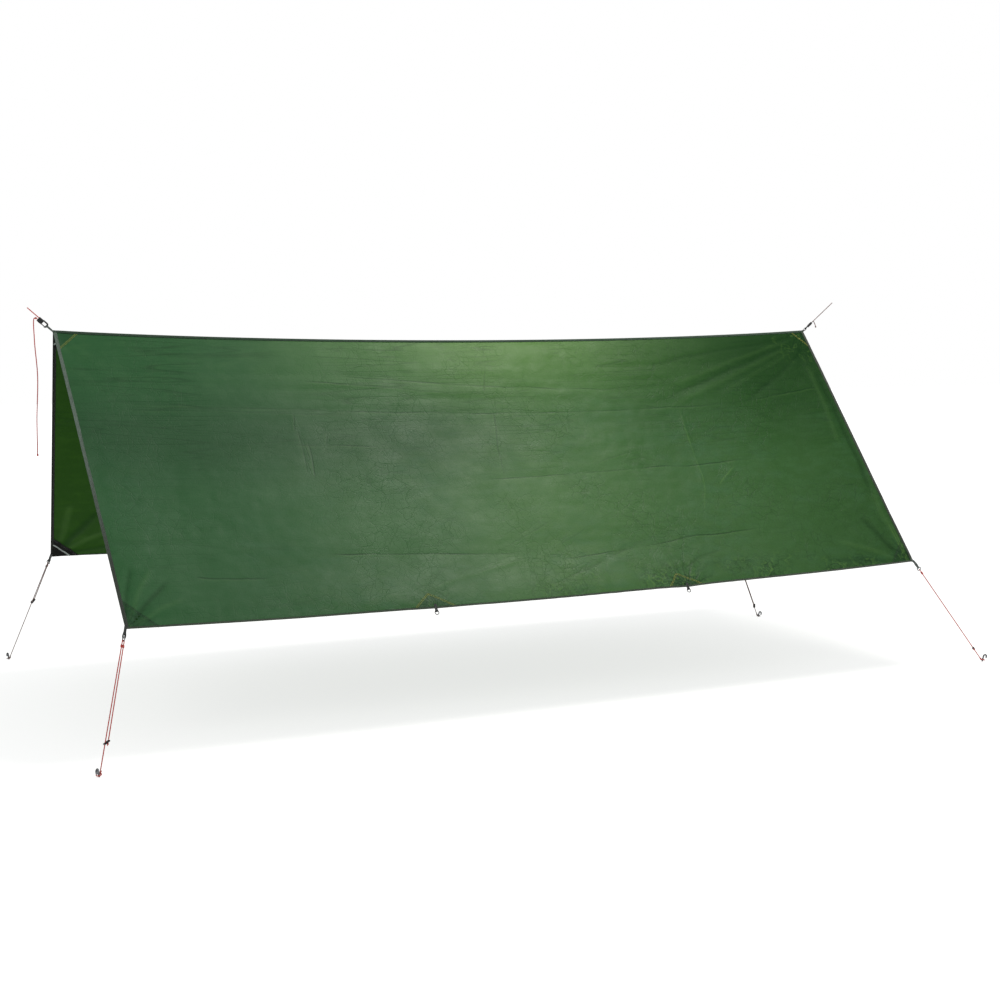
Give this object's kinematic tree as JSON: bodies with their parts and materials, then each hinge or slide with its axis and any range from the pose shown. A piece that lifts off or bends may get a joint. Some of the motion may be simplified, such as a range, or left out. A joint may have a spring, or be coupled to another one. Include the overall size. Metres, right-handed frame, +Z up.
{
  "type": "tarp shelter",
  "caption": "Ridge tarp shelter: two sloping fabric panels on a ridge seam, with hem rings, adjustable guy lines, pegs and hooked ridge cord tensioners.",
  "frame": {"origin": "on the ground under the middle of the ridge", "axes": "+X along the ridge to the right end, +Y towards the back panel, +Z up"},
  "size_m": [3.4497, 1.9811, 1.5441],
  "materials": {
    "canopy_fabric": "coated ripstop, satin",
    "edge_binding": "grosgrain tape",
    "hem_binding": "grosgrain tape, dark",
    "patch_fabric": "coated fabric, dark",
    "loop_webbing": "woven webbing",
    "guy_cord": "braided cord",
    "ring_steel": "drawn wire",
    "slider_plastic": "moulded",
    "tensioner_plastic": "moulded",
    "peg_aluminium": "anodised"
  },
  "bodies": {
    "ridge": {"ridge_seam": "canopy_fabric", "ridge_loop_left": "loop_webbing", "ridge_loop_right": "loop_webbing"},
    "front_panel": {"front_panel": "canopy_fabric", "front_left_binding": "edge_binding", "front_right_binding": "edge_binding", "front_hem_binding": "hem_binding", "front_corner_patches": "patch_fabric", "front_tieout_patches": "patch_fabric", "front_corner_loops": "loop_webbing", "front_tieout_loops": "loop_webbing"},
    "back_panel": {"back_panel": "canopy_fabric", "back_left_binding": "edge_binding", "back_right_binding": "edge_binding", "back_hem_binding": "hem_binding", "back_corner_patches": "patch_fabric", "back_tieout_patches": "patch_fabric", "back_corner_loops": "loop_webbing", "back_tieout_loops": "loop_webbing"},
    "front_left_ring": {"front_left_ring": "ring_steel"},
    "front_left_guy_line": {"front_left_guy_line": "guy_cord", "front_left_free_strand": "guy_cord"},
    "front_left_slider": {"front_left_slider": "slider_plastic", "front_left_stopper_knot": "guy_cord"},
    "front_left_peg": {"front_left_peg": "peg_aluminium"},
    "front_right_ring": {"front_right_ring": "ring_steel"},
    "front_right_guy_line": {"front_right_guy_line": "guy_cord", "front_right_free_strand": "guy_cord"},
    "front_right_slider": {"front_right_slider": "slider_plastic", "front_right_stopper_knot": "guy_cord"},
    "front_right_peg": {"front_right_peg": "peg_aluminium"},
    "back_left_ring": {"back_left_ring": "ring_steel"},
    "back_left_guy_line": {"back_left_guy_line": "guy_cord", "back_left_free_strand": "guy_cord"},
    "back_left_slider": {"back_left_slider": "slider_plastic", "back_left_stopper_knot": "guy_cord"},
    "back_left_peg": {"back_left_peg": "peg_aluminium"},
    "back_right_ring": {"back_right_ring": "ring_steel"},
    "back_right_guy_line": {"back_right_guy_line": "guy_cord", "back_right_free_strand": "guy_cord"},
    "back_right_slider": {"back_right_slider": "slider_plastic", "back_right_stopper_knot": "guy_cord"},
    "back_right_peg": {"back_right_peg": "peg_aluminium"},
    "front_tie_left_ring": {"front_tie_left_ring": "ring_steel"},
    "front_tie_right_ring": {"front_tie_right_ring": "ring_steel"},
    "back_tie_left_ring": {"back_tie_left_ring": "ring_steel"},
    "back_tie_right_ring": {"back_tie_right_ring": "ring_steel"},
    "ridge_left_tensioner": {"ridge_left_tensioner": "tensioner_plastic", "ridge_left_cam_pin": "ring_steel", "ridge_line_left": "guy_cord"},
    "ridge_left_gate": {"ridge_left_gate": "ring_steel"},
    "ridge_left_cam": {"ridge_left_cam": "tensioner_plastic"},
    "ridge_tail_left": {"ridge_tail_left": "guy_cord"},
    "ridge_right_tensioner": {"ridge_right_tensioner": "tensioner_plastic", "ridge_right_cam_pin": "ring_steel", "ridge_line_right": "guy_cord"},
    "ridge_right_gate": {"ridge_right_gate": "ring_steel"},
    "ridge_right_cam": {"ridge_right_cam": "tensioner_plastic"},
    "ridge_tail_right": {"ridge_tail_right": "guy_cord"}
  },
  "joints": [
    {"name": "front_panel_swing", "type": "hinge", "parent": "ridge", "child": "front_panel", "pos_m": [0, 0, 1.287], "axis": [-1, 0, 0], "range_deg": [-28, 52], "stiffness_Nm_per_rad": 1.6, "springref_deg": 87.09},
    {"name": "back_panel_swing", "type": "hinge", "parent": "ridge", "child": "back_panel", "pos_m": [0, 0, 1.287], "axis": [1, 0, 0], "range_deg": [-28, 48], "stiffness_Nm_per_rad": 1.6, "springref_deg": 93.97},
    {"name": "front_left_ring_pivot", "type": "hinge", "parent": "front_panel", "child": "front_left_ring", "pos_m": [-1.43151, -0.67731, 0.37281], "axis": [-0.3924, 0.8881, -0.2395], "range_deg": [-30, 30]},
    {"name": "front_left_guy_swing", "type": "hinge", "parent": "front_left_ring", "child": "front_left_guy_line", "pos_m": [-1.43501, -0.68209, 0.36079], "axis": [-0.3924, 0.8881, -0.2395], "range_deg": [-25, 25]},
    {"name": "front_left_slider_slide", "type": "slide", "parent": "front_left_guy_line", "child": "front_left_slider", "axis": [0.2606, 0.3571, 0.897], "range_m": [0, 0.2], "deforming": ["front_left_free_strand"]},
    {"name": "front_left_peg_pull", "type": "slide", "parent": "front_left_guy_line", "child": "front_left_peg", "axis": [-0.1524, -0.2092, 0.9659], "range_m": [0, 0.12]},
    {"name": "front_right_ring_pivot", "type": "hinge", "parent": "front_panel", "child": "front_right_ring", "pos_m": [1.55706, -0.66276, 0.38247], "axis": [-0.6762, 0.4753, -0.5629], "range_deg": [-30, 30]},
    {"name": "front_right_guy_swing", "type": "hinge", "parent": "front_right_ring", "child": "front_right_guy_line", "pos_m": [1.56517, -0.6638, 0.37185], "axis": [-0.6762, 0.4753, -0.5629], "range_deg": [-25, 25]},
    {"name": "front_right_slider_slide", "type": "slide", "parent": "front_right_guy_line", "child": "front_right_slider", "axis": [-0.6052, 0.0775, 0.7923], "range_m": [0, 0.3], "deforming": ["front_right_free_strand"]},
    {"name": "front_right_peg_pull", "type": "slide", "parent": "front_right_guy_line", "child": "front_right_peg", "axis": [0.2506, -0.0646, 0.9659], "range_m": [0, 0.12]},
    {"name": "back_left_ring_pivot", "type": "hinge", "parent": "back_panel", "child": "back_left_ring", "pos_m": [-1.42958, 0.73547, 0.43585], "axis": [0.6302, -0.4967, -0.5968], "range_deg": [-30, 30]},
    {"name": "back_left_guy_swing", "type": "hinge", "parent": "back_left_ring", "child": "back_left_guy_line", "pos_m": [-1.43207, 0.74417, 0.42597], "axis": [0.6302, -0.4967, -0.5968], "range_deg": [-25, 25]},
    {"name": "back_left_slider_slide", "type": "slide", "parent": "back_left_guy_line", "child": "back_left_slider", "axis": [0.1862, -0.6495, 0.7372], "range_m": [0, 0.15], "deforming": ["back_left_free_strand"]},
    {"name": "back_left_peg_pull", "type": "slide", "parent": "back_left_guy_line", "child": "back_left_peg", "axis": [-0.0779, 0.2468, 0.9659], "range_m": [0, 0.12]},
    {"name": "back_right_ring_pivot", "type": "hinge", "parent": "back_panel", "child": "back_right_ring", "pos_m": [1.59486, 0.71532, 0.43293], "axis": [0.6012, -0.713, 0.3608], "range_deg": [-30, 30]},
    {"name": "back_right_guy_swing", "type": "hinge", "parent": "back_right_ring", "child": "back_right_guy_line", "pos_m": [1.5973, 0.71107, 0.42046], "axis": [0.6012, -0.713, 0.3608], "range_deg": [-25, 25]},
    {"name": "back_right_slider_slide", "type": "slide", "parent": "back_right_guy_line", "child": "back_right_slider", "axis": [-0.1825, 0.3171, 0.9307], "range_m": [0, 0.3], "deforming": ["back_right_free_strand"]},
    {"name": "back_right_peg_pull", "type": "slide", "parent": "back_right_guy_line", "child": "back_right_peg", "axis": [0.0826, -0.2453, 0.9659], "range_m": [0, 0.12]},
    {"name": "front_tie_left_ring_pivot", "type": "hinge", "parent": "front_panel", "child": "front_tie_left_ring", "pos_m": [-0.43, -0.6821, 0.37426], "axis": [-1, 0, 0], "range_deg": [-60, 60]},
    {"name": "front_tie_right_ring_pivot", "type": "hinge", "parent": "front_panel", "child": "front_tie_right_ring", "pos_m": [0.526, -0.67995, 0.37761], "axis": [-1, 0, 0], "range_deg": [-60, 60]},
    {"name": "back_tie_left_ring_pivot", "type": "hinge", "parent": "back_panel", "child": "back_tie_left_ring", "pos_m": [-0.46, 0.73521, 0.43488], "axis": [1, 0, 0], "range_deg": [-60, 60]},
    {"name": "back_tie_right_ring_pivot", "type": "hinge", "parent": "back_panel", "child": "back_tie_right_ring", "pos_m": [0.54, 0.73521, 0.43488], "axis": [1, 0, 0], "range_deg": [-60, 60]},
    {"name": "ridge_left_tensioner_pivot", "type": "hinge", "parent": "ridge", "child": "ridge_left_tensioner", "pos_m": [-1.51784, 0, 1.30306], "axis": [0.6691, 0, 0.7431], "range_deg": [-20, 20]},
    {"name": "ridge_left_gate_hinge", "type": "hinge", "parent": "ridge_left_tensioner", "child": "ridge_left_gate", "pos_m": [-1.53722, 0, 1.31217], "axis": [0, -1, 0], "range_deg": [0, 25], "stiffness_Nm_per_rad": 0.004, "springref_deg": -17.19},
    {"name": "ridge_left_cam_hinge", "type": "hinge", "parent": "ridge_left_tensioner", "child": "ridge_left_cam", "pos_m": [-1.54539, 0, 1.31953], "axis": [0, 1, 0], "range_deg": [0, 60], "stiffness_Nm_per_rad": 0.004, "springref_deg": -17.19},
    {"name": "ridge_left_tail_swing", "type": "hinge", "parent": "ridge_left_tensioner", "child": "ridge_tail_left", "pos_m": [-1.54907, 0, 1.32822], "axis": [0, 1, 0], "range_deg": [-18, 18]},
    {"name": "ridge_right_tensioner_pivot", "type": "hinge", "parent": "ridge", "child": "ridge_right_tensioner", "pos_m": [1.51174, 0, 1.29633], "axis": [-0.2955, -0.8799, 0.372], "range_deg": [-20, 20]},
    {"name": "ridge_right_gate_hinge", "type": "hinge", "parent": "ridge_right_tensioner", "child": "ridge_right_gate", "pos_m": [1.52963, 0.00546, 1.30678], "axis": [-0.5473, 0.4751, 0.689], "range_deg": [0, 25], "stiffness_Nm_per_rad": 0.004, "springref_deg": -17.19},
    {"name": "ridge_right_cam_hinge", "type": "hinge", "parent": "ridge_right_tensioner", "child": "ridge_right_cam", "pos_m": [1.53824, 0.00546, 1.31362], "axis": [0.5473, -0.4751, -0.689], "range_deg": [0, 60], "stiffness_Nm_per_rad": 0.004, "springref_deg": -17.19},
    {"name": "ridge_right_tail_swing", "type": "hinge", "parent": "ridge_right_tensioner", "child": "ridge_tail_right", "pos_m": [1.54375, 0.00194, 1.32042], "axis": [0, 1, 0], "range_deg": [-18, 18]}
  ]
}
